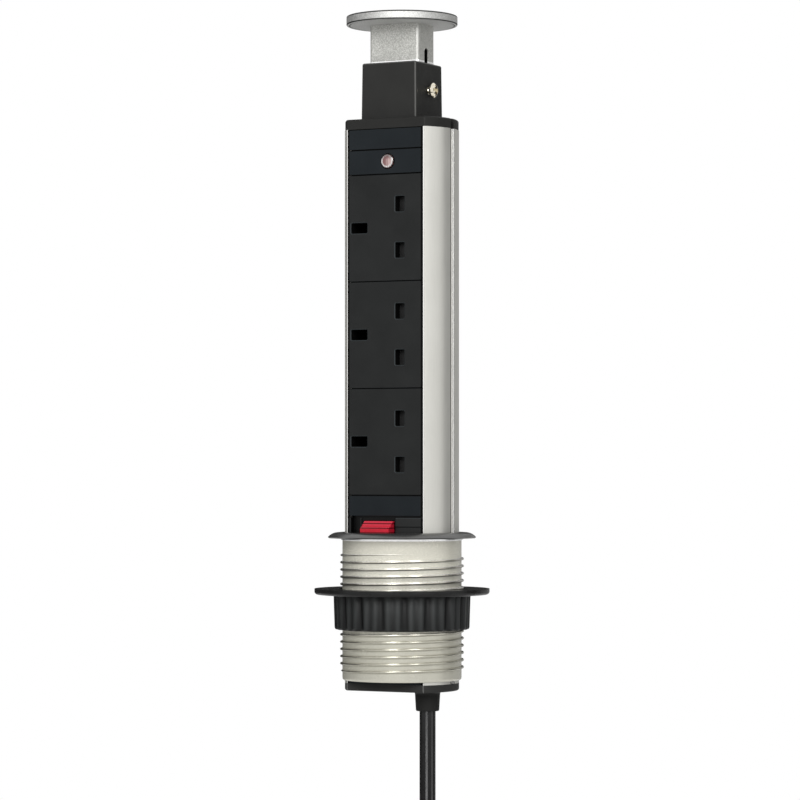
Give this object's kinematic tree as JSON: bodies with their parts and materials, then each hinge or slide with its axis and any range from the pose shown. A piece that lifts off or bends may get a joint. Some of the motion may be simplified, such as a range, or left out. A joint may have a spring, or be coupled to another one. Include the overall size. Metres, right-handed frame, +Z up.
{
  "type": "pop-up tower power strip",
  "caption": "Worktop socket tower with earthed outlets, drawn up out of a threaded sleeve with ring, clamp plate and lobed nut; red release wedge, pop-up lid, hanging cord and plug",
  "frame": {"origin": "on the tower's axis, in the plane of the worktop's top face, which the ring's underside sits on", "axes": "+Z up along the tower, -Y toward the sockets, earth holes toward -X"},
  "size_m": [0.0929, 0.085, 0.676],
  "materials": {
    "satin_zinc": "satin",
    "sleeve_metal": "satin champagne",
    "black_plate": "gloss",
    "black_nut": "semi-gloss",
    "anodised_aluminium": "anodised",
    "cap_black": "satin",
    "lid_silver": "satin silver",
    "neck_metal": "satin silver",
    "steel": "bright",
    "spring_steel": "bright",
    "grey_plastic": "plain",
    "panel_black": "satin",
    "socket_black": "fine grain",
    "shutter_black": "plain",
    "lens_clear": "clear",
    "lamp_glass": "clear",
    "board_green": "plain",
    "brass": "bright",
    "cord_black": "satin",
    "strap_black": "woven",
    "plug_black": "satin",
    "carrier_red": "satin",
    "fuse_ceramic": "glazed",
    "core_brown": "plain",
    "core_blue": "plain",
    "core_green_yellow": "plain",
    "button_red": "semi-gloss"
  },
  "bodies": {
    "sleeve": {"table_ring": "satin_zinc", "threaded_sleeve": "sleeve_metal"},
    "plate": {"clamp_plate": "black_plate"},
    "nut": {"clamp_nut": "black_nut"},
    "tower": {"tower_extrusion": "anodised_aluminium", "top_cap": "cap_black", "top_cap_screws": "steel", "guide_box": "cap_black", "guide_screw": "steel", "lid_spring": "spring_steel", "touch_latch": "grey_plastic", "upper_blank": "panel_black", "indicator_panel": "panel_black", "indicator_lens": "lens_clear", "neon_lamp": "lamp_glass", "indicator_board": "board_green", "lower_blank": "panel_black", "latch_housing": "panel_black", "latch_spring": "spring_steel", "lower_filler": "panel_black", "line_busbar": "brass", "neutral_busbar": "brass", "earth_busbar": "brass", "shutter_springs": "spring_steel", "bottom_cap": "cap_black", "bottom_cap_screws": "steel", "cable_clamp": "grey_plastic", "clamp_screws": "steel", "cord": "cord_black", "cord_hank": "cord_black", "cord_tail": "cord_black", "hank_tie": "strap_black", "plug_relief": "cord_black", "plug_body": "plug_black", "plug_fuse_carrier": "carrier_red", "plug_fuse": "fuse_ceramic", "brown_core": "core_brown", "blue_core": "core_blue", "earth_core": "core_green_yellow", "plug_line_pin": "brass", "plug_neutral_pin": "brass", "plug_earth_pin": "brass", "socket_face_1": "socket_black", "socket_face_2": "socket_black", "socket_face_3": "socket_black", "socket_back_1": "socket_black", "socket_back_2": "socket_black", "socket_back_3": "socket_black"},
    "lid": {"lid_disc": "lid_silver", "lid_neck": "neck_metal", "lid_screws": "steel"},
    "button": {"release_button": "button_red"},
    "shutter_top": {"shutter_1": "shutter_black"},
    "shutter_middle": {"shutter_2": "shutter_black"},
    "shutter_low": {"shutter_3": "shutter_black"}
  },
  "joints": [
    {"name": "tower_slide", "type": "slide", "parent": "sleeve", "child": "tower", "axis": [0, 0, 1], "range_m": [-0.2318, 0]},
    {"name": "lid_slide", "type": "slide", "parent": "tower", "child": "lid", "axis": [0, 0, 1], "range_m": [-0.0184, 0], "stiffness_N_per_m": 120, "springref_m": 0.025, "deforming": ["lid_spring"]},
    {"name": "latch_press", "type": "slide", "parent": "tower", "child": "button", "axis": [0, 1, 0], "range_m": [0, 0.0046], "stiffness_N_per_m": 400, "springref_m": -0.005, "deforming": ["latch_spring"]},
    {"name": "clamp_travel", "type": "slide", "parent": "sleeve", "child": "plate", "axis": [0, 0, 1], "range_m": [-0.0206, 0.0196]},
    {"name": "nut_turn", "type": "hinge", "parent": "plate", "child": "nut", "pos_m": [0, 0, -0.0358], "axis": [0, 0, 1], "range_deg": [-2119, 2016.5]},
    {"name": "shutter_top_slide", "type": "slide", "parent": "tower", "child": "shutter_top", "axis": [1, 0, 0], "range_m": [0, 0.0065], "stiffness_N_per_m": 60, "springref_m": -0.006, "deforming": ["shutter_springs"]},
    {"name": "shutter_middle_slide", "type": "slide", "parent": "tower", "child": "shutter_middle", "axis": [1, 0, 0], "range_m": [0, 0.0065], "stiffness_N_per_m": 60, "springref_m": -0.006, "deforming": ["shutter_springs"]},
    {"name": "shutter_low_slide", "type": "slide", "parent": "tower", "child": "shutter_low", "axis": [1, 0, 0], "range_m": [0, 0.0065], "stiffness_N_per_m": 60, "springref_m": -0.006, "deforming": ["shutter_springs"]}
  ],
  "couplings": [
    {"joint": "nut_turn", "follows": "clamp_travel", "rad_per_m": 1795.2}
  ]
}
